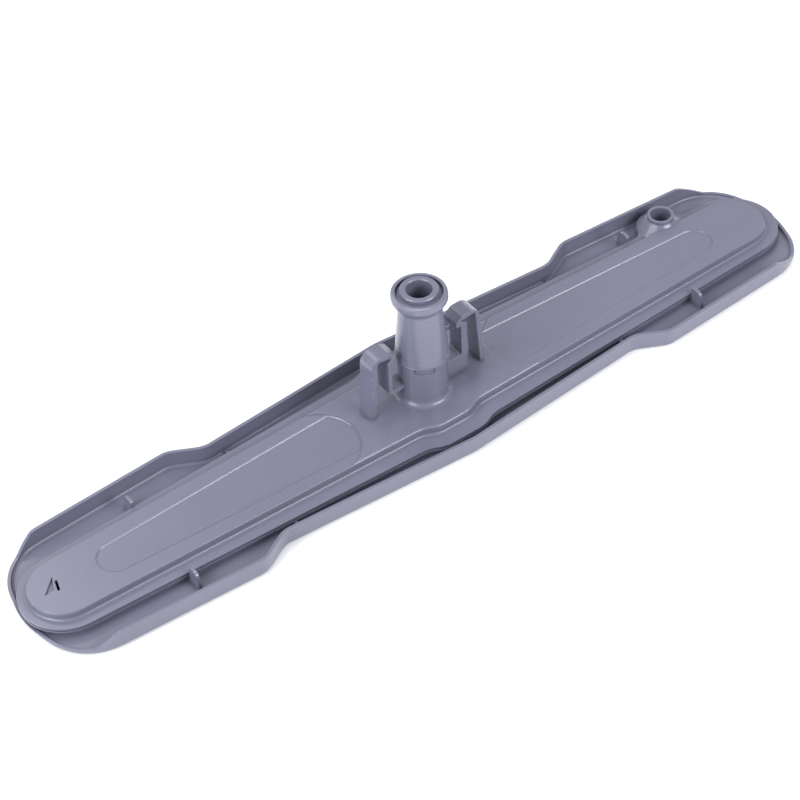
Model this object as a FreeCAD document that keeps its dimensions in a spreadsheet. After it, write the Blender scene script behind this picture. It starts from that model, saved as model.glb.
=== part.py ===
import FreeCAD, Part
import math
import os
from collections import namedtuple
from types import SimpleNamespace

import Sketcher

# Dishwasher spray arm, lying on its spray face with the hub up.
# X runs along the arm, Z is the hub's axis and z = 0 is the spray face. Millimetres and degrees.

DRIVING = dict(
    # outer moulding: floor and skirt
    skirt_height=10.9,
    skirt_wall=1.6,
    skirt_half_width_hub=42.45,
    skirt_hub_bend=30.0,
    shoulder_inner_x=106.7,
    shoulder_inner_half_width=35.3,
    shoulder_outer_x=122.9,
    shoulder_outer_half_width=44.05,
    shoulder_bend=12.0,
    tip_half_width=38.7,
    tip_corner_radius=29.0,
    tip_radius=45.0,
    tip_slant_left=12.0,
    tip_slant_right=17.0,
    tip_reach_left=228.2,
    tip_reach_right=230.8,
    lip_height=3.2,
    spray_edge_radius=3.0,
    ramp_top_left=200.5,
    ramp_foot_left=211.5,
    ramp_top_right=199.5,
    ramp_foot_right=215.0,
    ramp_bend=6.0,
    # water duct between the two mouldings
    duct_wall=2.0,
    duct_wall_height=4.45,
    weld_inset=1.2,
    weld_rim_thickness=1.0,
    weld_seam=0.8,
    # cover: flange
    flange_thickness=1.2,
    flange_half_width=30.85,
    flange_bulge_half_width=34.9,
    flange_bulge_flat=11.5,
    flange_bulge_base=20.0,
    flange_end_left=204.3,
    flange_end_right=205.2,
    flange_end_radius_left=23.5,
    flange_end_radius_right=23.3,
    # cover: raised roof
    roof_rise=4.35,
    roof_thickness=1.6,
    roof_wall=1.8,
    roof_half_width=22.15,
    roof_bulge_half_width=26.0,
    roof_bulge_flat=9.5,
    roof_bulge_base=17.0,
    roof_end_left=205.0,
    roof_end_right=203.0,
    roof_end_radius_left=17.7,
    roof_end_radius_right=17.5,
    roof_edge_radius=1.2,
    roof_foot_radius=1.4,
    bulge_bend=15.0,
    hub_pad_rise=0.4,
    hub_pad_arc_radius=22.0,
    hub_pad_arc_x=64.0,
    panel_depth=0.6,
    panel_half_width=15.0,
    panel_end_x=177.5,
    panel_end_radius=9.5,
    # hub boss and feed tube
    boss_radius=12.5,
    boss_height=25.0,
    boss_foot_radius=3.0,
    key_depth=0.6,
    key_height=4.0,
    key_sweep=48.0,
    key_count=3,
    tube_fit=0.05,
    spigot_radius=10.2,
    spigot_length=20.0,
    tube_bore_radius=8.9,
    tube_foot_radius=13.3,
    tube_neck_radius=10.6,
    tube_cone_length=31.4,
    tube_flare_height=3.9,
    tube_flare_bend=3.0,
    tube_lip_radius=13.9,
    tube_lip_height=4.2,
    tube_lip_edge=1.3,
    tube_mouth_radius=11.6,
    tube_mouth_depth=2.5,
    # bearing bush
    bush_bore_radius=6.4,
    bush_sleeve_radius=8.0,
    bush_running_gap=0.05,
    bush_catch_radius=8.6,
    bush_catch_height=2.0,
    bush_catch_depth=12.0,
    bush_flange_radius=11.2,
    bush_flange_thickness=1.0,
    bush_slope_rise=0.4,
    bush_face_radius=9.4,
    bush_face_rise=2.7,
    bush_edge=0.4,
    # clips beside the hub
    clip_width=9.5,
    clip_middle_y=2.55,
    clip_leg_left=33.6,
    clip_leg_right=36.2,
    clip_leg_thickness_left=3.5,
    clip_leg_thickness_right=2.3,
    clip_leg_lean=2.6,
    clip_rise=37.3,
    clip_bar_thickness=2.6,
    clip_nose_left=16.8,
    clip_nose_right=19.6,
    clip_nose_height=3.2,
    clip_nose_overhang=2.8,
    clip_nose_drop_left=2.3,
    clip_nose_drop_right=3.9,
    clip_hook_reach=2.4,
    clip_hook_drop=1.0,
    clip_shoulder=6.0,
    clip_tongue_thickness_left=1.9,
    clip_tongue_thickness_right=3.6,
    clip_web_inset=0.6,
    clip_foot_rise=9.7,
    clip_foot_thickness=1.9,
    clip_bend=1.2,
    # side tube
    side_tube_x=175.3,
    side_tube_y=25.0,
    side_tube_radius=7.0,
    side_tube_bore_radius=5.5,
    side_tube_height=7.7,
    side_tube_flare=5.5,
    side_tube_wall_inside=1.6,
    side_tube_blend=6.0,
    side_tube_flare_height=5.7,
    # cross fins between duct and skirt
    fin_x=153.4,
    fin_thickness=1.7,
    fin_length=8.5,
    fin_corner=3.0,
    fin_lean=1.5,
    fin_gap=0.3,
    neck_fin_x_left=96.0,
    neck_fin_x_right=104.0,
    neck_fin_outer_height=1.6,
    neck_fin_gap=1.2,
    # spray slots through the floor
    slot_length=9.0,
    slot_width=2.0,
    slot_first_x=48.0,
    slot_pitch=33.0,
    slot_count=5,
    slot_row_y=11.0,
    dish_radius=6.5,
    dish_depth=0.5,
    # drive jet in the left end of the cover
    jet_depth=0.9,
    jet_far_x=207.3,
    jet_far_y=7.6,
    jet_deep_x=210.6,
    jet_deep_y=0.4,
    jet_tip_x=215.7,
    jet_tip_y=-0.4,
    jet_slot_x=207.9,
    jet_slot_y=1.6,
    jet_slot_length=6.2,
    jet_slot_width=1.3,
    jet_slot_lean=1.8,
)


def value_of(term):
    return term.value if isinstance(term, Size) else float(term)


def formula_of(term):
    return term.formula if isinstance(term, Size) else str(term)


class Size:
    """A number that keeps the sheet formula it comes from."""

    def __init__(self, value, formula):
        self.value = float(value)
        self.formula = formula

    def __add__(self, other):
        return Size(self.value + value_of(other), f"({self.formula} + {formula_of(other)})")

    def __radd__(self, other):
        return self + other

    def __sub__(self, other):
        return Size(self.value - value_of(other), f"({self.formula} - {formula_of(other)})")

    def __rsub__(self, other):
        return Size(value_of(other) - self.value, f"({formula_of(other)} - {self.formula})")

    def __mul__(self, other):
        return Size(self.value * value_of(other), f"({self.formula} * {formula_of(other)})")

    def __rmul__(self, other):
        return self * other

    def __truediv__(self, other):
        return Size(self.value / value_of(other), f"({self.formula} / {formula_of(other)})")

    def __neg__(self):
        return Size(-self.value, f"(-{self.formula})")


def cosine(angle):
    return Size(math.cos(math.radians(angle.value)), f"cos({angle.formula} * 1 deg)")


def tangent(angle):
    return Size(math.tan(math.radians(angle.value)), f"tan({angle.formula} * 1 deg)")


doc = FreeCAD.newDocument("spray_arm")
sheet = doc.addObject("Spreadsheet::Sheet", "Sizes")
for row, (name, value) in enumerate(DRIVING.items(), start=1):
    sheet.set(f"A{row}", name)
    sheet.set(f"B{row}", str(value))
    sheet.setAlias(f"B{row}", name)
doc.recompute()
s = SimpleNamespace(**{name: Size(value, f"Sizes.{name}") for name, value in DRIVING.items()})

# Heights that several pieces share
floor_top = s.skirt_wall
seat_z = floor_top + s.duct_wall_height
flange_top = seat_z + s.flange_thickness
roof_top = flange_top + s.roof_rise
hub_pad_top = roof_top + s.hub_pad_rise
panel_top = roof_top - s.panel_depth
duct_ceiling = panel_top - s.roof_thickness
boss_top = hub_pad_top + s.boss_height
neck_z = boss_top + s.tube_cone_length
flare_z = neck_z + s.tube_flare_height
lip_top = flare_z + s.tube_lip_height
mouth_floor = lip_top - s.tube_mouth_depth

Corner = namedtuple("Corner", "x y radius", defaults=(None,))
Round = namedtuple("Round", "x y radius")


def point(node):
    return FreeCAD.Vector(value_of(node.x), value_of(node.y), 0)


def turned(vector, angle):
    return FreeCAD.Rotation(FreeCAD.Vector(0, 0, 1), math.degrees(angle)).multVec(vector)


def touch_point(start, circle, side):
    """Where the line from start touches the circle; side is -1 when the circle lies on its left."""
    to_centre = point(circle) - start
    lean = math.asin(value_of(circle.radius) / to_centre.Length)
    reach = to_centre.Length * math.cos(lean)
    return start + turned(to_centre, side * lean).normalize() * reach


def edge_ends(first, second):
    if isinstance(second, Round):
        return point(first), touch_point(point(first), second, -1)
    if isinstance(first, Round):
        return touch_point(point(second), first, 1), point(second)
    return point(first), point(second)


def angle_at(centre, place):
    return math.atan2(place.y - centre.y, place.x - centre.x)


def arc_between(centre, radius, start, end, left):
    if not left:
        start, end = end, start
    circle = Part.Circle(centre, FreeCAD.Vector(0, 0, 1), radius)
    return Part.ArcOfCircle(circle, angle_at(centre, start), angle_at(centre, end))


def bind(sketch, kind, places, size):
    index = sketch.addConstraint(Sketcher.Constraint(kind, *places, value_of(size)))
    if isinstance(size, Size):
        sketch.setExpression(f"Constraints[{index}]", size.formula)


def place_point(sketch, geometry, position, node):
    """Tie a point of the sketch to the node's two coordinates."""
    for kind, axis, size in (("DistanceX", -2, node.x), ("DistanceY", -1, node.y)):
        if size is None:
            continue
        if not isinstance(size, Size) and size == 0:
            sketch.addConstraint(Sketcher.Constraint("PointOnObject", geometry, position, axis))
        else:
            bind(sketch, kind, (-1, 1, geometry, position), size)


def new_sketch(body, name, plane, lift=0):
    """A sketch on one of the body's own origin planes, lifted along the plane's normal."""
    sketch = body.newObject("Sketcher::SketchObject", name)
    support = next(part for part in body.Origin.OriginFeatures if part.Role == plane)
    sketch.AttachmentSupport = [(support, "")]
    sketch.MapMode = "FlatFace"
    if isinstance(lift, Size):
        sketch.setExpression("AttachmentOffset.Base.z", lift.formula)
    return sketch


def add_outline(sketch, nodes):
    """Draw a closed counter-clockwise outline of straight edges, bends and round ends."""
    count = len(nodes)
    ends = [edge_ends(nodes[i], nodes[(i + 1) % count]) for i in range(count)]
    cuts = [list(pair) for pair in ends]
    arcs = {}
    for i, node in enumerate(nodes):
        before = i - 1 if i else count - 1
        if isinstance(node, Round):
            arcs[i] = (point(node), value_of(node.radius), True)
            continue
        if node.radius is None:
            continue
        radius = value_of(node.radius)
        incoming = (ends[before][1] - ends[before][0]).normalize()
        outgoing = (ends[i][1] - ends[i][0]).normalize()
        turn = math.atan2(incoming.cross(outgoing).z, incoming.dot(outgoing))
        setback = radius * math.tan(abs(turn) / 2)
        cuts[before][1] = point(node) - incoming * setback
        cuts[i][0] = point(node) + outgoing * setback
        inward = turned(incoming, math.copysign(math.pi / 2, turn))
        arcs[i] = (cuts[before][1] + inward * radius, radius, turn > 0)
    lines = [sketch.addGeometry(Part.LineSegment(*pair), False) for pair in cuts]
    for i, node in enumerate(nodes):
        before = i - 1 if i else count - 1
        if i not in arcs:
            sketch.addConstraint(Sketcher.Constraint("Coincident", lines[before], 2, lines[i], 1))
            place_point(sketch, lines[i], 1, node)
            continue
        centre, radius, left = arcs[i]
        shape = arc_between(centre, radius, cuts[before][1], cuts[i][0], left)
        arc = sketch.addGeometry(shape, False)
        entry, leaving = (1, 2) if left else (2, 1)
        sketch.addConstraint(Sketcher.Constraint("Tangent", lines[before], 2, arc, entry))
        sketch.addConstraint(Sketcher.Constraint("Tangent", arc, leaving, lines[i], 1))
        bind(sketch, "Radius", (arc,), node.radius)
        if isinstance(node, Round):
            place_point(sketch, arc, 3, node)
            continue
        apex = sketch.addGeometry(Part.Point(point(node)), True)
        sketch.addConstraint(Sketcher.Constraint("PointOnObject", apex, 1, lines[before]))
        sketch.addConstraint(Sketcher.Constraint("PointOnObject", apex, 1, lines[i]))
        place_point(sketch, apex, 1, node)


def outline(body, name, plane, lift, nodes):
    sketch = new_sketch(body, name, plane, lift)
    add_outline(sketch, nodes)
    doc.recompute()
    return sketch


def circle(body, name, lift, x, y, radius):
    sketch = new_sketch(body, name, "XY_Plane", lift)
    middle = FreeCAD.Vector(value_of(x), value_of(y), 0)
    ring = sketch.addGeometry(Part.Circle(middle, FreeCAD.Vector(0, 0, 1), value_of(radius)), False)
    bind(sketch, "Radius", (ring,), radius)
    place_point(sketch, ring, 3, Corner(x, y))
    doc.recompute()
    return sketch


def sized(feature, prop, size):
    if isinstance(size, Size):
        feature.setExpression(prop, size.formula)
    else:
        setattr(feature, prop, size)


def pad(body, name, sketch, length, both_ways=False, flipped=False):
    feature = body.newObject("PartDesign::Pad", name)
    feature.Profile = sketch
    feature.SideType = "Symmetric" if both_ways else "One side"
    feature.Reversed = flipped
    sized(feature, "Length", length)
    doc.recompute()
    return feature


def pocket(body, name, sketch, length, both_ways=False, flipped=False):
    """Cut a pocket, and make sure that it takes something away."""
    before = body.Shape.Volume
    feature = body.newObject("PartDesign::Pocket", name)
    feature.Profile = sketch
    feature.SideType = "Symmetric" if both_ways else "One side"
    feature.Reversed = flipped
    sized(feature, "Length", length)
    doc.recompute()
    if body.Shape.Volume >= before:
        raise ValueError(f"{name} cuts nothing")
    return feature


def revolve(body, name, sketch):
    feature = body.newObject("PartDesign::Revolution", name)
    feature.Profile = sketch
    feature.ReferenceAxis = (sketch, ["V_Axis"])
    feature.Angle = 360.0
    doc.recompute()
    return feature


def edge_names(shape, wanted):
    return [f"Edge{i}" for i, edge in enumerate(shape.Edges, start=1) if wanted(edge)]


def at_height(edge, height):
    box = edge.BoundBox
    return abs(box.ZMin - value_of(height)) < 0.01 and abs(box.ZMax - value_of(height)) < 0.01


def fillet(body, name, wanted, radius):
    base = body.Tip
    names = edge_names(base.Shape, wanted)
    if not names:
        raise ValueError(f"{name} finds no edge")
    feature = body.newObject("PartDesign::Fillet", name)
    feature.Base = (base, names)
    sized(feature, "Radius", radius)
    doc.recompute()
    return feature


def mirrored(body, name, original, plane):
    feature = body.newObject("PartDesign::Mirrored", name)
    feature.Originals = [original]
    support = next(part for part in body.Origin.OriginFeatures if part.Role == plane)
    feature.MirrorPlane = (support, [""])
    body.Tip = feature
    doc.recompute()
    return feature


def new_body(name):
    body = doc.addObject("PartDesign::Body", name)
    body.Label = name
    return body


# Outlines of the water duct, pulled in by a wall or a seam

def duct_outline(hub, end_left, end_right, bulge):
    """Both long sides taper from the hub's bulge to a round end."""
    half_width, bulge_half_width = hub
    flat, base = bulge
    side = [
        Corner(base, half_width, s.bulge_bend),
        Corner(flat, bulge_half_width, s.bulge_bend),
        Corner(-flat, bulge_half_width, s.bulge_bend),
        Corner(-base, half_width, s.bulge_bend),
    ]
    other = [Corner(-corner.x, -corner.y, corner.radius) for corner in side]
    return [Round(*end_right)] + side + [Round(*end_left)] + other


def flange_outline(inset):
    return duct_outline(
        (s.flange_half_width - inset, s.flange_bulge_half_width - inset),
        (-s.flange_end_left, 0, s.flange_end_radius_left - inset),
        (s.flange_end_right, 0, s.flange_end_radius_right - inset),
        (s.flange_bulge_flat, s.flange_bulge_base),
    )


def roof_outline(inset):
    return duct_outline(
        (s.roof_half_width - inset, s.roof_bulge_half_width - inset),
        (-s.roof_end_left, 0, s.roof_end_radius_left - inset),
        (s.roof_end_right, 0, s.roof_end_radius_right - inset),
        (s.roof_bulge_flat, s.roof_bulge_base),
    )


# Outer moulding

def skirt_outline():
    far_right = [
        tip_corner(s.tip_reach_right, s.tip_slant_right, 1, 1),
        Corner(s.shoulder_outer_x, s.shoulder_outer_half_width, s.shoulder_bend),
        Corner(s.shoulder_inner_x, s.shoulder_inner_half_width, s.shoulder_bend),
    ]
    near_left = [
        tip_corner(s.tip_reach_left, s.tip_slant_left, -1, -1),
        Corner(-s.shoulder_outer_x, -s.shoulder_outer_half_width, s.shoulder_bend),
        Corner(-s.shoulder_inner_x, -s.shoulder_inner_half_width, s.shoulder_bend),
    ]
    far_left = [Corner(c.x, -c.y, c.radius) for c in reversed(near_left)]
    near_right = [Corner(c.x, -c.y, c.radius) for c in reversed(far_right)]
    hub_far = Corner(0, s.skirt_half_width_hub, s.skirt_hub_bend)
    hub_near = Corner(0, -s.skirt_half_width_hub, s.skirt_hub_bend)
    tip_right = Corner(tip_apex(s.tip_reach_right, s.tip_slant_right), 0, s.tip_radius)
    tip_left = Corner(-tip_apex(s.tip_reach_left, s.tip_slant_left), 0, s.tip_radius)
    return [tip_right, *far_right, hub_far, *far_left, tip_left, *near_left, hub_near, *near_right]


def tip_apex(reach, slant):
    """The point beyond the tip where its two slanted flanks would meet."""
    return reach - s.tip_radius + s.tip_radius / cosine(slant)


def tip_corner(reach, slant, along, across):
    x = tip_apex(reach, slant) - s.tip_half_width * tangent(slant)
    return Corner(along * x, across * s.tip_half_width, s.tip_corner_radius)


shell = new_body("spray_shell")
tray = pad(shell, "tray", outline(shell, "tray_outline", "XY_Plane", 0, skirt_outline()), s.skirt_height)
fillet(shell, "spray_edge", lambda edge: at_height(edge, 0), s.spray_edge_radius)
tray_faces = shell.Tip.Shape.Faces
open_face = max(range(len(tray_faces)), key=lambda i: tray_faces[i].CenterOfMass.z) + 1
solid_tray = shell.Tip
hollow = shell.newObject("PartDesign::Thickness", "hollow")
hollow.Base = (solid_tray, [f"Face{open_face}"])
sized(hollow, "Value", s.skirt_wall)
hollow.Reversed = True
hollow.Mode = "Skin"
hollow.Join = "Intersection"
doc.recompute()


def ramp_outline(along, reach, foot, top):
    """What is taken off the skirt so that it runs down to the low lip round a tip."""
    beyond = along * (reach + s.skirt_height)
    above = s.skirt_height + s.ramp_bend
    inner = along * (top - 2 * s.ramp_bend)
    path = [
        Corner(along * foot, s.lip_height, s.ramp_bend),
        Corner(along * top, s.skirt_height, s.ramp_bend),
        Corner(inner, s.skirt_height),
        Corner(inner, above),
        Corner(beyond, above),
        Corner(beyond, s.lip_height),
    ]
    return path if along < 0 else path[::-1]


left_ramp = ramp_outline(-1, s.tip_reach_left, s.ramp_foot_left, s.ramp_top_left)
right_ramp = ramp_outline(1, s.tip_reach_right, s.ramp_foot_right, s.ramp_top_right)
all_across = 4 * s.shoulder_outer_half_width
for name, path in (("left_ramp", left_ramp), ("right_ramp", right_ramp)):
    sketch = outline(shell, f"{name}_outline", "XZ_Plane", 0, path)
    pocket(shell, name, sketch, all_across, both_ways=True)

duct = outline(shell, "duct_outline", "XY_Plane", floor_top / 2, flange_outline(s.weld_inset))
pad(shell, "duct", duct, seat_z - floor_top / 2)
rim_top = seat_z - s.weld_seam
rim = outline(shell, "weld_rim_outline", "XY_Plane", rim_top, flange_outline(0))
pad(shell, "weld_rim", rim, s.weld_rim_thickness, flipped=True)
ear_reach = s.side_tube_radius + s.side_tube_flare
ear_foot = circle(shell, "ear_foot_circle", floor_top / 2, s.side_tube_x, s.side_tube_y, ear_reach - s.weld_inset)
pad(shell, "ear_foot", ear_foot, seat_z - floor_top / 2)
ear_rim = circle(shell, "ear_rim_circle", rim_top, s.side_tube_x, s.side_tube_y, ear_reach)
pad(shell, "ear_rim", ear_rim, s.weld_rim_thickness, flipped=True)
waterway = outline(shell, "waterway_outline", "XY_Plane", seat_z, flange_outline(s.weld_inset + s.duct_wall))
pocket(shell, "waterway", waterway, s.duct_wall_height)

socket_outer = s.side_tube_radius + s.side_tube_wall_inside
socket = circle(shell, "side_socket_circle", floor_top / 2, s.side_tube_x, s.side_tube_y, socket_outer)
pad(shell, "side_socket", socket, seat_z - floor_top / 2)
well = circle(shell, "side_well_circle", seat_z, s.side_tube_x, s.side_tube_y, s.side_tube_bore_radius)
pocket(shell, "side_well", well, s.duct_wall_height)


def flange_edge(x):
    """How far the flange reaches from the arm's middle at this place along the arm."""
    narrowing = (s.flange_half_width - s.flange_end_radius_right) / s.flange_end_right
    return s.flange_half_width - narrowing * x


def skirt_edge(x):
    """How far the skirt's neck reaches from the arm's middle at this place along the arm."""
    narrowing = (s.skirt_half_width_hub - s.shoulder_inner_half_width) / s.shoulder_inner_x
    return s.skirt_half_width_hub - narrowing * x


def add_fin(name, x, path):
    """A cross fin from the duct wall towards the skirt, and its twin on the near side."""
    sketch = outline(shell, f"{name}_outline", "YZ_Plane", x, path)
    fin = pad(shell, name, sketch, s.fin_thickness, both_ways=True)
    return mirrored(shell, f"{name}_near", fin, "XZ_Plane")


def fin_outline(x):
    """A tall tab that stands clear of the flange's edge."""
    edge = flange_edge(x)
    root = edge - s.weld_inset - s.duct_wall / 2
    clear = edge + s.fin_gap
    under_rim = rim_top - s.weld_rim_thickness / 2
    return [
        Corner(root, floor_top / 2),
        Corner(edge + s.fin_length, floor_top / 2),
        Corner(edge + s.fin_length - s.fin_lean, s.skirt_height, s.fin_corner),
        Corner(clear, s.skirt_height, s.spray_edge_radius / 2),
        Corner(clear, under_rim),
        Corner(root, under_rim),
    ]


def neck_fin_outline(x):
    """A low brace whose top falls towards the skirt."""
    edge = flange_edge(x)
    root = edge - s.weld_inset - s.duct_wall / 2
    outer = skirt_edge(x) - s.skirt_wall - s.neck_fin_gap
    return [
        Corner(root, floor_top / 2),
        Corner(outer, floor_top / 2),
        Corner(outer, floor_top + s.neck_fin_outer_height),
        Corner(root, rim_top - s.weld_rim_thickness / 2),
    ]


for name, side in (("fin_right", 1), ("fin_left", -1)):
    add_fin(name, side * s.fin_x, fin_outline(s.fin_x))
for name, side, x in (("neck_fin_right", 1, s.neck_fin_x_right), ("neck_fin_left", -1, s.neck_fin_x_left)):
    add_fin(name, side * x, neck_fin_outline(x))


def slot_row(side, name):
    """A row of spray slots along one arm, each in a shallow dish on the spray face."""
    first = s.slot_first_x * side
    across = s.slot_row_y * side
    dish = circle(shell, f"{name}_dish_circle", 0, first, across, s.dish_radius)
    dished = pocket(shell, f"{name}_dish", dish, s.dish_depth, flipped=True)
    half = s.slot_length / 2
    path = [
        Corner(first + half, across - s.slot_width / 2),
        Corner(first + half, across + s.slot_width / 2),
        Corner(first - half, across + s.slot_width / 2),
        Corner(first - half, across - s.slot_width / 2),
    ]
    slot = outline(shell, f"{name}_slot_outline", "XY_Plane", 0, path)
    slotted = pocket(shell, f"{name}_slot", slot, floor_top, flipped=True)
    row = shell.newObject("PartDesign::LinearPattern", f"{name}_row")
    row.Originals = [dished, slotted]
    row.Direction = (slot, ["H_Axis"])
    row.Reversed = side < 0
    row.Mode = "Spacing"
    sized(row, "Offset", s.slot_pitch)
    sized(row, "Occurrences", s.slot_count)
    shell.Tip = row
    doc.recompute()


slot_row(1, "right")
slot_row(-1, "left")


# Inner moulding: flange, raised roof, boss, clips and side tube

def bitten_outline(body, name, lift, side, half, middle):
    """An outline that starts and ends on the hub pad's round bite, half away from the arm's middle."""
    sketch = new_sketch(body, name, "XY_Plane", lift)
    centre = Corner(side * s.hub_pad_arc_x, 0)
    radius = value_of(s.hub_pad_arc_radius)
    mouth_x = side * (value_of(s.hub_pad_arc_x) - math.sqrt(radius ** 2 - value_of(half) ** 2))
    path = [Corner(mouth_x, -side * half), *middle, Corner(mouth_x, side * half)]
    ends = [edge_ends(path[i], path[i + 1]) for i in range(len(path) - 1)]
    lines = [sketch.addGeometry(Part.LineSegment(*pair), False) for pair in ends]
    for i, node in enumerate(path[1:-1]):
        if isinstance(node, Corner):
            sketch.addConstraint(Sketcher.Constraint("Coincident", lines[i], 2, lines[i + 1], 1))
            place_point(sketch, lines[i + 1], 1, node)
            continue
        shape = arc_between(point(node), value_of(node.radius), ends[i][1], ends[i + 1][0], True)
        arc = sketch.addGeometry(shape, False)
        sketch.addConstraint(Sketcher.Constraint("Tangent", lines[i], 2, arc, 1))
        sketch.addConstraint(Sketcher.Constraint("Tangent", arc, 2, lines[i + 1], 1))
        bind(sketch, "Radius", (arc,), node.radius)
        place_point(sketch, arc, 3, node)
    bite_shape = arc_between(point(centre), radius, point(path[-1]), point(path[0]), True)
    bite = sketch.addGeometry(bite_shape, False)
    sketch.addConstraint(Sketcher.Constraint("Coincident", lines[-1], 2, bite, 1))
    sketch.addConstraint(Sketcher.Constraint("Coincident", bite, 2, lines[0], 1))
    bind(sketch, "Radius", (bite,), s.hub_pad_arc_radius)
    place_point(sketch, bite, 3, centre)
    place_point(sketch, lines[0], 1, Corner(None, path[0].y))
    place_point(sketch, lines[-1], 2, Corner(None, path[-1].y))
    doc.recompute()
    return sketch


cover = new_body("duct_cover")
flange = outline(cover, "flange_outline", "XY_Plane", seat_z, flange_outline(0))
pad(cover, "flange", flange, s.flange_thickness)
ear = circle(cover, "ear_circle", seat_z, s.side_tube_x, s.side_tube_y, ear_reach)
pad(cover, "ear", ear, s.flange_thickness)


def on_ear_corner(edge):
    """The upright edges where the ear leaves the flange's long side."""
    box = edge.BoundBox
    off_tube = math.hypot(box.Center.x - value_of(s.side_tube_x), box.Center.y - value_of(s.side_tube_y))
    upright = box.XLength < 0.01 and box.YLength < 0.01
    return upright and abs(off_tube - value_of(ear_reach)) < 0.01 and box.Center.y > 0


fillet(cover, "ear_corners", on_ear_corner, s.side_tube_blend)
roof = outline(cover, "roof_outline", "XY_Plane", seat_z, roof_outline(0))
pad(cover, "roof", roof, hub_pad_top - seat_z)
fillet(cover, "roof_edge", lambda edge: at_height(edge, hub_pad_top), s.roof_edge_radius)


def on_roof_foot(edge):
    """The edges where the roof's walls stand on the flange."""
    if not at_height(edge, flange_top):
        return False
    middle = edge.valueAt((edge.FirstParameter + edge.LastParameter) / 2)
    across = abs(middle.y)
    rim_left = -value_of(s.flange_end_left) - value_of(s.roof_end_radius_left) - 2
    rim_right = value_of(s.flange_end_right) + value_of(s.roof_end_radius_right) - 1
    if middle.x < -value_of(s.roof_end_left) or middle.x > value_of(s.roof_end_right):
        return rim_left < middle.x < rim_right
    taper = value_of(s.roof_half_width) - value_of(s.roof_end_radius_left)
    allowed = value_of(s.roof_half_width) - taper * abs(middle.x) / value_of(s.roof_end_left) + 1.5
    if abs(middle.x) < value_of(s.roof_bulge_base) + 3:
        allowed = value_of(s.roof_bulge_half_width) + 1
    return across < allowed


fillet(cover, "roof_foot", on_roof_foot, s.roof_foot_radius)

bite_half = s.hub_pad_arc_radius * 0.97
wide = s.roof_bulge_half_width + s.bulge_bend
for side, name in ((1, "right"), (-1, "left")):
    beyond = side * (s.roof_end_left + 2 * s.roof_end_radius_left)
    corners = [
        Corner(side * s.hub_pad_arc_x, -side * wide),
        Corner(beyond, -side * wide),
        Corner(beyond, side * wide),
        Corner(side * s.hub_pad_arc_x, side * wide),
    ]
    sketch = bitten_outline(cover, f"{name}_arm_outline", hub_pad_top, side, bite_half, corners)
    pocket(cover, f"{name}_arm_level", sketch, s.hub_pad_rise)
    far_end = [Round(side * s.panel_end_x, 0, s.panel_end_radius)]
    sketch = bitten_outline(cover, f"{name}_panel_outline", roof_top, side, s.panel_half_width, far_end)
    pocket(cover, f"{name}_panel", sketch, s.panel_depth)

flare = circle(cover, "side_tube_flare_circle", flange_top, s.side_tube_x, s.side_tube_y, ear_reach)
flare_cone = pad(cover, "side_tube_flare", flare, s.side_tube_flare_height)
flare_cone.setExpression("TaperAngle", f"-atan({(s.side_tube_flare / s.side_tube_flare_height).formula})")
doc.recompute()
cavity = outline(cover, "cavity_outline", "XY_Plane", seat_z, roof_outline(s.roof_wall))
pocket(cover, "cavity", cavity, duct_ceiling - seat_z, flipped=True)

boss = circle(cover, "boss_circle", duct_ceiling, 0, 0, s.boss_radius)
pad(cover, "boss", boss, boss_top - duct_ceiling)


def round_boss(edge):
    """The circle, whole or in parts, in which the boss meets the hub pad."""
    middle = edge.valueAt((edge.FirstParameter + edge.LastParameter) / 2)
    off_boss = abs(math.hypot(middle.x, middle.y) - value_of(s.boss_radius))
    return at_height(edge, hub_pad_top) and off_boss < 0.1


fillet(cover, "boss_foot", round_boss, s.boss_foot_radius)


Clip = namedtuple("Clip", "leg leg_thickness nose nose_drop tongue_thickness")


def clip_outline(side, clip):
    """A looped clip: leaning leg, arched bar, hooked nose and a tongue that runs down to the boss."""
    lean = s.clip_leg_lean
    top = hub_pad_top + s.clip_rise
    arch_foot = top - s.clip_bar_thickness
    inner_leg = clip.leg - clip.leg_thickness
    tongue = clip.nose + s.clip_nose_overhang
    tongue_back = tongue + clip.tongue_thickness
    nose_top = top - clip.nose_drop
    nose_foot = top - s.clip_nose_drop_right - s.clip_nose_height
    foot = hub_pad_top + s.clip_foot_rise
    into_boss = s.boss_radius - s.clip_bend
    path = [
        Corner(-clip.leg, hub_pad_top - s.panel_depth),
        Corner(-inner_leg, hub_pad_top - s.panel_depth),
        Corner(-(inner_leg - lean), arch_foot, s.clip_bend),
        Corner(-(clip.nose + s.clip_hook_reach), arch_foot - s.clip_hook_drop),
        Corner(-tongue_back, nose_foot + s.clip_hook_drop, s.clip_bend / 2),
        Corner(-tongue_back, foot, s.clip_bend),
        Corner(-into_boss, foot),
        Corner(-into_boss, foot + s.clip_foot_thickness),
        Corner(-tongue, foot + s.clip_foot_thickness, s.clip_bend),
        Corner(-tongue, nose_foot),
        Corner(-clip.nose, nose_foot),
        Corner(-clip.nose, nose_top, s.clip_bend / 2),
        Corner(-(clip.nose + 3 * s.clip_bend), top - s.clip_bend / 2, s.clip_bend),
        Corner(-(clip.leg - lean), top, s.clip_shoulder),
    ]
    if side > 0:
        path = [Corner(-corner.x, corner.y, corner.radius) for corner in reversed(path)]
    return path


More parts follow.
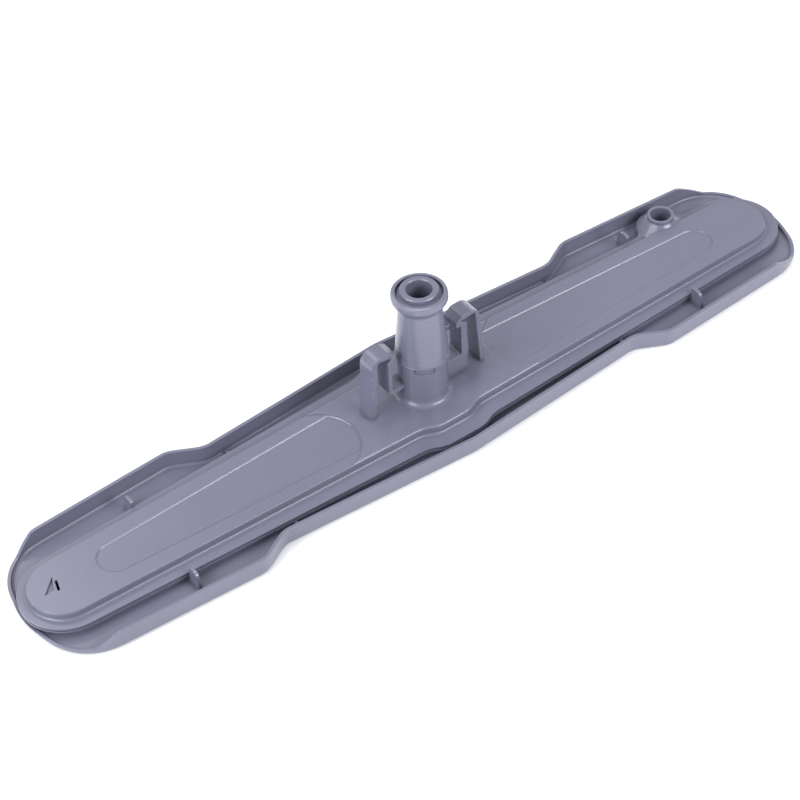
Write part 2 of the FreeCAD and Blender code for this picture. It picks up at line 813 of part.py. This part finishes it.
left_clip = Clip(
    s.clip_leg_left,
    s.clip_leg_thickness_left,
    s.clip_nose_left,
    s.clip_nose_drop_left,
    s.clip_tongue_thickness_left,
)
right_clip = Clip(
    s.clip_leg_right,
    s.clip_leg_thickness_right,
    s.clip_nose_right,
    s.clip_nose_drop_right,
    s.clip_tongue_thickness_right,
)
for side, name, clip in ((-1, "left_clip", left_clip), (1, "right_clip", right_clip)):
    sketch = outline(cover, f"{name}_outline", "XZ_Plane", -s.clip_middle_y, clip_outline(side, clip))
    pad(cover, name, sketch, s.clip_width, both_ways=True)

# The right clip's tongue stands on a web, the left one's foot is free
web_back = right_clip.nose + s.clip_nose_overhang + right_clip.tongue_thickness
web_path = [
    Corner(s.boss_radius - s.clip_bend, hub_pad_top - s.panel_depth),
    Corner(web_back, hub_pad_top - s.panel_depth),
    Corner(web_back, hub_pad_top + s.clip_foot_rise + s.clip_bend),
    Corner(s.boss_radius - s.clip_bend, hub_pad_top + s.clip_foot_rise + s.clip_bend),
]
web = outline(cover, "right_clip_web_outline", "XZ_Plane", -s.clip_middle_y, web_path)
pad(cover, "right_clip_web", web, s.clip_width - 2 * s.clip_web_inset, both_ways=True)

window_path = [
    Corner(s.boss_radius - s.key_depth, boss_top - s.key_height),
    Corner(s.boss_radius + s.key_depth, boss_top - s.key_height),
    Corner(s.boss_radius + s.key_depth, boss_top),
    Corner(s.boss_radius - s.key_depth, boss_top),
]
window_sketch = outline(cover, "key_window_outline", "XZ_Plane", 0, window_path)
window = cover.newObject("PartDesign::Groove", "key_window")
window.Profile = window_sketch
window.ReferenceAxis = (window_sketch, ["V_Axis"])
window.Midplane = True
sized(window, "Angle", s.key_sweep)
doc.recompute()
windows = cover.newObject("PartDesign::PolarPattern", "key_windows")
windows.Originals = [window]
windows.Axis = (window_sketch, ["V_Axis"])
windows.Angle = 360.0
sized(windows, "Occurrences", s.key_count)
cover.Tip = windows
doc.recompute()

spigot_seat = circle(cover, "spigot_seat_circle", boss_top, 0, 0, s.spigot_radius + s.tube_fit)
pocket(cover, "spigot_seat", spigot_seat, boss_top - seat_z)

tube_stub = circle(cover, "side_tube_circle", seat_z, s.side_tube_x, s.side_tube_y, s.side_tube_radius)
pad(cover, "side_tube", tube_stub, s.flange_thickness + s.side_tube_height)
tube_hole = circle(
    cover,
    "side_tube_bore_circle",
    flange_top + s.side_tube_height,
    s.side_tube_x,
    s.side_tube_y,
    s.side_tube_bore_radius,
)
pocket(cover, "side_tube_bore", tube_hole, s.flange_thickness + s.side_tube_height)

jet_pocket = [
    Corner(-s.jet_far_x, s.jet_far_y),
    Corner(-s.jet_tip_x, s.jet_tip_y),
    Corner(-s.jet_deep_x, s.jet_deep_y),
]
jet = outline(cover, "jet_outline", "XY_Plane", roof_top, jet_pocket)
pocket(cover, "jet", jet, s.jet_depth)
slot_near = s.jet_slot_x + s.jet_slot_lean / 2
slot_far = s.jet_slot_x - s.jet_slot_lean / 2
half_length = s.jet_slot_length / 2
jet_slot_path = [
    Corner(-slot_near - s.jet_slot_width / 2, s.jet_slot_y - half_length),
    Corner(-slot_near + s.jet_slot_width / 2, s.jet_slot_y - half_length),
    Corner(-slot_far + s.jet_slot_width / 2, s.jet_slot_y + half_length),
    Corner(-slot_far - s.jet_slot_width / 2, s.jet_slot_y + half_length),
]
jet_slot = outline(cover, "jet_slot_outline", "XY_Plane", roof_top, jet_slot_path)
pocket(cover, "jet_slot", jet_slot, roof_top - duct_ceiling)


# Feed tube: spigot in the boss, tapered neck and rounded lip

tube = new_body("hub_tube")
tube_profile = [
    Corner(s.tube_bore_radius, boss_top - s.spigot_length),
    Corner(s.spigot_radius, boss_top - s.spigot_length),
    Corner(s.spigot_radius, boss_top),
    Corner(s.tube_foot_radius, boss_top),
    Corner(s.tube_neck_radius, neck_z, s.tube_flare_bend),
    Corner(s.tube_lip_radius - s.tube_lip_edge / 2, flare_z - s.tube_lip_edge / 2),
    Corner(s.tube_lip_radius, flare_z + s.tube_lip_edge / 2),
    Corner(s.tube_lip_radius, lip_top - s.tube_lip_edge),
    Corner(s.tube_lip_radius - s.tube_lip_edge / 4, lip_top - s.tube_lip_edge / 4),
    Corner(s.tube_lip_radius - s.tube_lip_edge, lip_top),
    Corner(s.tube_mouth_radius, lip_top),
    Corner(s.tube_mouth_radius, mouth_floor),
    Corner(s.bush_sleeve_radius + s.bush_running_gap, mouth_floor),
    Corner(s.bush_sleeve_radius + s.bush_running_gap, mouth_floor - s.bush_catch_depth),
    Corner(s.tube_bore_radius, mouth_floor - s.bush_catch_depth),
]
revolve(tube, "turned_tube", outline(tube, "tube_profile", "XZ_Plane", 0, tube_profile))


# Bearing bush: turns in the mouth of the tube on the feed stub

bush = new_body("bearing_bush")
flange_foot = mouth_floor + s.bush_running_gap
slope_foot = flange_foot + s.bush_flange_thickness
face_z = slope_foot + s.bush_slope_rise + s.bush_face_rise
catch_top = mouth_floor - s.bush_catch_depth - s.bush_running_gap
catch_foot = catch_top - s.bush_catch_height
bush_profile = [
    Corner(s.bush_bore_radius, catch_foot),
    Corner(s.bush_sleeve_radius, catch_foot),
    Corner(s.bush_catch_radius, catch_top),
    Corner(s.bush_sleeve_radius, catch_top),
    Corner(s.bush_sleeve_radius, flange_foot),
    Corner(s.bush_flange_radius, flange_foot),
    Corner(s.bush_flange_radius, slope_foot),
    Corner(s.bush_face_radius, slope_foot + s.bush_slope_rise),
    Corner(s.bush_face_radius, face_z - s.bush_edge),
    Corner(s.bush_face_radius - s.bush_edge, face_z),
    Corner(s.bush_bore_radius + s.bush_edge, face_z),
    Corner(s.bush_bore_radius, face_z - s.bush_edge),
]
revolve(bush, "turned_bush", outline(bush, "bush_profile", "XZ_Plane", 0, bush_profile))


# Check every object and write one file for each piece

for item in doc.Objects:
    if "Invalid" in item.State or "Error" in item.State:
        raise ValueError(f"{item.Name} did not build")
os.makedirs("parts", exist_ok=True)
for body in (shell, cover, tube, bush):
    if body.Shape.isNull() or not body.Shape.isValid():
        raise ValueError(f"{body.Label} has no sound shape")
    body.Shape.exportStep(f"parts/{body.Label}.step")
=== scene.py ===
import math

import bpy
from mathutils import Matrix, Vector


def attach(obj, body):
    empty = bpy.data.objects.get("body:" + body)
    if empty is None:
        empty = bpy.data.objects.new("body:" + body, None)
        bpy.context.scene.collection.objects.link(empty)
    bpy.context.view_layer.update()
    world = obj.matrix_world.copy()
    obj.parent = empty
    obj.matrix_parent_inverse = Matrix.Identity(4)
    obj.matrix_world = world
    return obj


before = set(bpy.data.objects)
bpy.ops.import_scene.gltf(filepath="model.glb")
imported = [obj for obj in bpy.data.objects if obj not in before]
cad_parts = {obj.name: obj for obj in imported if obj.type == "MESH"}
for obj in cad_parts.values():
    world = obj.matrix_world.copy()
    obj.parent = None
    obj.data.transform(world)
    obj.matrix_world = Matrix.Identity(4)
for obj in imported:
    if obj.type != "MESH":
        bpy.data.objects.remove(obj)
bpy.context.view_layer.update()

# The arm lies on its spray face, X along it and Z up the hub. Metres.
MM = 0.001


class Value:
    """A shader socket that can be written in sums, differences and products."""

    def __init__(self, finish, socket):
        self.finish = finish
        self.socket = socket

    def math(self, operation, *terms):
        inputs = dict(enumerate(terms))
        return self.finish.node("ShaderNodeMath", {"operation": operation}, inputs)

    def __add__(self, other):
        return self.math("ADD", self, other)

    __radd__ = __add__

    def __mul__(self, other):
        return self.math("MULTIPLY", self, other)

    __rmul__ = __mul__

    def __sub__(self, other):
        return self.math("SUBTRACT", self, other)

    def __rsub__(self, other):
        return self.math("SUBTRACT", other, self)


class Finish:
    """One surface's material and the nodes that it is made of."""

    def __init__(self, name):
        self.material = bpy.data.materials.new(name)
        self.material.use_nodes = True
        self.tree = self.material.node_tree
        self.shader = self.tree.nodes["Principled BSDF"].inputs

    def node(self, kind, settings, inputs, output=0):
        made = self.tree.nodes.new(kind)
        for name, setting in settings.items():
            setattr(made, name, setting)
        for place, term in inputs.items():
            self.feed(made.inputs[place], term)
        return Value(self, made.outputs[output])

    def feed(self, socket, term):
        if isinstance(term, Value):
            self.tree.links.new(term.socket, socket)
        else:
            socket.default_value = term

    def place(self):
        return self.node("ShaderNodeTexCoord", {}, {}, "Object")

    def noise(self, grains, detail, stretch=(1, 1, 1)):
        """Even noise between 0 and 1, its grains counted per metre."""
        mapped = self.node("ShaderNodeMapping", {}, {"Vector": self.place(), "Scale": stretch})
        inputs = {"Vector": mapped, "Scale": grains, "Detail": detail, "Roughness": 0.55}
        return self.node("ShaderNodeTexNoise", {}, inputs, "Fac")

    def blend(self, factor, first, second):
        """A colour between two others, whose sockets on the Mix node are its seventh and eighth."""
        inputs = {"Factor": factor, 6: first, 7: second}
        return self.node("ShaderNodeMix", {"data_type": "RGBA"}, inputs, 2)

    def spread(self, value, low, high):
        """Stretch a value that runs from low to high over 0 to 1."""
        inputs = {"Value": value, "From Min": low, "From Max": high}
        return self.node("ShaderNodeMapRange", {"clamp": True}, inputs)

    def openness(self, reach):
        """1 on an open face, and less where the piece's own faces within reach close it in."""
        settings = {"samples": 12, "only_local": True}
        return self.node("ShaderNodeAmbientOcclusion", settings, {"Distance": reach}, "AO")

    def rounded(self, radius):
        """The surface's direction, turned at each edge as a small rounding turns it."""
        return self.node("ShaderNodeBevel", {"samples": 16}, {"Radius": radius})


# The grey plastic. Its patterns are counted in grains per metre.

DARK_GREY = (0.129, 0.130, 0.184, 1)
LIGHT_GREY = (0.140, 0.141, 0.200, 1)
# Painted shade: the darker grey that corners closed in by the piece's own faces are blended towards.
PAINTED_SHADE_GREY = (0.085, 0.085, 0.120, 1)

CLOUDS = 28
CLOUD_STRETCH = (0.45, 1, 1)
SPECKS = 900
SPECK_SHARE = 0.15

WIPES = 40
WIPE_STRETCH = (0.3, 1, 1)
WIPE_SPREAD = 0.1

FINE_GRAIN = 600
COARSE_GRAIN = 250
COARSE_SHARE = 0.4
GRAIN_DEPTH = 0.02 * MM
EDGE_RADIUS = 0.35 * MM

# Corners: shade is painted into the colour where the piece's own faces close in, and the roughness
# is raised and the coat thinned there.
CORNER_REACH = 4 * MM
CORNER_DEPTH = 0.45
CORNER_START = 0.92
PAINTED_SHADE_STRENGTH = 0.8
CORNER_DULLING = 0.3

PLASTIC_IOR = 1.49
COAT = 0.35
COAT_ROUGHNESS = 0.16


def moulded_plastic(name, roughness, grain):
    """Satin grey plastic: faint clouds of colour, moulding grain, wiped patches, and shade painted
    darker into its corners, which are also made duller.
    """
    finish = Finish(name)
    shader = finish.shader
    # How closely the piece's own faces close in a spot: it paints shade into the colour, and it also
    # dulls the roughness and thins the coat.
    painted_shade_and_dulling = 1 - finish.spread(finish.openness(CORNER_REACH), CORNER_DEPTH, CORNER_START)

    cloud = finish.spread(finish.noise(CLOUDS, 3, CLOUD_STRETCH), 0.35, 0.65)
    speck = finish.spread(finish.noise(SPECKS, 2), 0.3, 0.7)
    tone = cloud * (1 - SPECK_SHARE) + speck * SPECK_SHARE
    plain = finish.blend(tone, DARK_GREY, LIGHT_GREY)
    # Painted shade: the colour darkens towards a dark grey in corners.
    finish.feed(shader["Base Color"], finish.blend(painted_shade_and_dulling * PAINTED_SHADE_STRENGTH, plain, PAINTED_SHADE_GREY))

    wiped = finish.noise(WIPES, 1, WIPE_STRETCH)
    smoothest = roughness - WIPE_SPREAD / 2
    finish.feed(shader["Roughness"], wiped * WIPE_SPREAD + painted_shade_and_dulling * CORNER_DULLING + smoothest)

    fine = finish.noise(FINE_GRAIN, 2)
    coarse = finish.noise(COARSE_GRAIN, 2)
    relief = {
        "Strength": grain,
        "Distance": GRAIN_DEPTH,
        "Height": fine * (1 - COARSE_SHARE) + coarse * COARSE_SHARE,
        "Normal": finish.rounded(EDGE_RADIUS),
    }
    finish.feed(shader["Normal"], finish.node("ShaderNodeBump", {}, relief))

    shader["IOR"].default_value = PLASTIC_IOR
    shader["Specular IOR Level"].default_value = 0.5
    finish.feed(shader["Coat Weight"], COAT - painted_shade_and_dulling * COAT)
    shader["Coat Roughness"].default_value = COAT_ROUGHNESS
    return finish.material


def dress(node, material):
    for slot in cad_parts[node].material_slots:
        slot.material = material


COVER = moulded_plastic("cover_grey", 0.28, 0.12)
TUBE = moulded_plastic("tube_grey", 0.28, 0.12)
dress("spray_shell", moulded_plastic("shell_grey", 0.32, 0.15))
dress("duct_cover", COVER)
dress("hub_tube", TUBE)
dress("bearing_bush", moulded_plastic("bush_grey", 0.28, 0.12))


# Two thin dishes line the cover's sunk panels, so that each panel's rim slopes as a moulded one does

PANEL_FLOOR = 11.0 * MM
PANEL_REACH = 16 * MM
DISH_BOTTOM = 10.95 * MM
DISH_FLOOR = 11.02 * MM
DISH_RIM = 11.59 * MM
RIM_SLOPE = 0.62 * MM
LEVEL_TOLERANCE = 0.05 * MM
MERGE_DISTANCE = 0.001 * MM
FLAT_ANGLE = math.radians(0.5)


def on_panel_floor(face, side):
    place = face.center
    flat = abs(place.z - PANEL_FLOOR) < LEVEL_TOLERANCE and face.normal.z > 0.99
    return flat and side * place.x > 0 and abs(place.y) < PANEL_REACH


def panel_dish(name, side):
    """Grow a dish from the cover's own panel floor, on the left (-1) or the right (1)."""
    dish = bpy.data.objects.new(name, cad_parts["duct_cover"].data.copy())
    bpy.context.scene.collection.objects.link(dish)
    bpy.ops.object.select_all(action="DESELECT")
    dish.select_set(True)
    bpy.context.view_layer.objects.active = dish

    bpy.ops.object.mode_set(mode="EDIT")
    bpy.ops.mesh.select_mode(type="FACE")
    bpy.ops.mesh.select_all(action="SELECT")
    bpy.ops.mesh.remove_doubles(threshold=MERGE_DISTANCE)
    bpy.ops.mesh.select_all(action="DESELECT")
    bpy.ops.object.mode_set(mode="OBJECT")
    for face in dish.data.polygons:
        face.select = not on_panel_floor(face, side)

    bpy.ops.object.mode_set(mode="EDIT")
    bpy.ops.mesh.delete(type="FACE")
    bpy.ops.mesh.select_all(action="SELECT")
    bpy.ops.mesh.dissolve_limited(angle_limit=FLAT_ANGLE)
    bpy.ops.mesh.select_all(action="SELECT")
    bpy.ops.transform.translate(value=(0, 0, DISH_BOTTOM - PANEL_FLOOR))
    rise = {"value": (0, 0, DISH_RIM - DISH_BOTTOM)}
    bpy.ops.mesh.extrude_region_move(TRANSFORM_OT_translate=rise)
    bpy.ops.mesh.inset(thickness=RIM_SLOPE, use_even_offset=True)
    bpy.ops.transform.translate(value=(0, 0, DISH_FLOOR - DISH_RIM))
    bpy.ops.mesh.select_all(action="SELECT")
    bpy.ops.mesh.normals_make_consistent(inside=False)
    bpy.ops.object.mode_set(mode="OBJECT")

    dish.data.materials.clear()
    dish.data.materials.append(COVER)
    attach(dish, "arm")


panel_dish("left_panel_dish", -1)
panel_dish("right_panel_dish", 1)


# A slightly flattened bead closes round the joint where the tube stands in the boss

BEAD_REACH = 13.2 * MM
BEAD_RADIUS = 0.42 * MM
BEAD_HEIGHT = 37.35 * MM
BEAD_FLATNESS = 0.8

bpy.ops.object.select_all(action="DESELECT")
bpy.ops.mesh.primitive_torus_add(
    major_radius=BEAD_REACH,
    minor_radius=BEAD_RADIUS,
    major_segments=96,
    minor_segments=16,
    location=(0, 0, BEAD_HEIGHT),
)
bead = bpy.context.object
bead.name = "tube_foot_bead"
bpy.ops.object.mode_set(mode="EDIT")
bpy.ops.transform.resize(value=(1, 1, BEAD_FLATNESS))
bpy.ops.object.mode_set(mode="OBJECT")
bpy.ops.object.transform_apply(location=True, rotation=True, scale=True)
bpy.ops.object.shade_smooth()
bead.data.materials.append(TUBE)
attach(bead, "arm")


# Camera: seen from the left front corner, a little tilted, through a long lens

AZIMUTH = math.radians(-33.991)
ELEVATION = math.radians(44.558)
ROLL = math.radians(-3.216)
DISTANCE = 1.1372
AIM = Vector((-0.00707, 0.01078, 0))
FOCAL_LENGTH = 102.6
SENSOR_WIDTH = 36
NEAREST = 0.05

away = Vector((
    math.sin(AZIMUTH) * math.cos(ELEVATION),
    -math.cos(AZIMUTH) * math.cos(ELEVATION),
    math.sin(ELEVATION),
))
level = Vector((math.cos(AZIMUTH), math.sin(AZIMUTH), 0))
upright = away.cross(level)
across = math.cos(ROLL) * level + math.sin(ROLL) * upright
along = away.cross(across)
lens = bpy.data.cameras.new("photo_camera")
lens.lens = FOCAL_LENGTH
lens.sensor_width = SENSOR_WIDTH
lens.clip_start = NEAREST
camera = bpy.data.objects.new("photo_camera", lens)
camera.matrix_world = Matrix((across, along, away)).transposed().to_4x4()
camera.location = AIM + DISTANCE * away
bpy.context.scene.collection.objects.link(camera)
bpy.context.scene.camera = camera


# Studio: large soft lamps, an even world light and a white paper floor

LAMP_DISTANCE = 1.2
FRONT_TINT = (0.97, 0.98, 1.0)
LEFT_TINT = (0.95, 0.99, 1.0)
WHITE = (1.0, 1.0, 1.0)
WORLD_STRENGTH = 0.5
FLOOR_WIDTH = 14
FLOOR_GAP = 0.2 * MM


def soft_lamp(name, azimuth, elevation, size, power, tint):
    """A rectangular lamp that looks at the hub, its azimuth counted from +X in degrees."""
    flat = math.cos(math.radians(elevation))
    way = Vector((
        flat * math.cos(math.radians(azimuth)),
        flat * math.sin(math.radians(azimuth)),
        math.sin(math.radians(elevation)),
    ))
    lamp = bpy.data.lights.new(name, "AREA")
    lamp.shape = "RECTANGLE"
    lamp.size, lamp.size_y = size
    lamp.energy = power
    lamp.color = tint
    holder = bpy.data.objects.new(name, lamp)
    holder.location = LAMP_DISTANCE * way
    holder.rotation_euler = (-way).to_track_quat("-Z", "Y").to_euler()
    bpy.context.scene.collection.objects.link(holder)


soft_lamp("front_right_key", -65, 35, (0.8, 0.45), 12.3, FRONT_TINT)
soft_lamp("left_key", 170, 35, (0.7, 0.4), 5.8, LEFT_TINT)
soft_lamp("left_low", 191, 15, (0.5, 0.4), 5.0, LEFT_TINT)
soft_lamp("left_high", 191, 45, (0.5, 0.5), 3.2, LEFT_TINT)
soft_lamp("back_low", 40, 15, (1.6, 0.5), 3.4, WHITE)
soft_lamp("back_left", 101, 45, (0.5, 0.5), 2.1, WHITE)
soft_lamp("top", 56, 75, (0.5, 0.5), 3.3, WHITE)

world = bpy.data.worlds.new("studio")
world.use_nodes = True
sky = world.node_tree.nodes["Background"].inputs
sky["Color"].default_value = (*WHITE, 1)
sky["Strength"].default_value = WORLD_STRENGTH
bpy.context.scene.world = world

bpy.context.scene.view_settings.view_transform = "Standard"
bpy.context.scene.view_settings.look = "None"

# The floor lies a hair below the spray face, so that the two never share a plane
bpy.ops.object.select_all(action="DESELECT")
bpy.ops.mesh.primitive_plane_add(size=FLOOR_WIDTH, location=(0, 0, -FLOOR_GAP))
floor = bpy.context.object
floor.name = "floor"
paper = Finish("white_paper")
paper.shader["Base Color"].default_value = (0.93, 0.93, 0.93, 1)
paper.shader["Roughness"].default_value = 0.9
paper.shader["Specular IOR Level"].default_value = 0.1
floor.data.materials.append(paper.material)
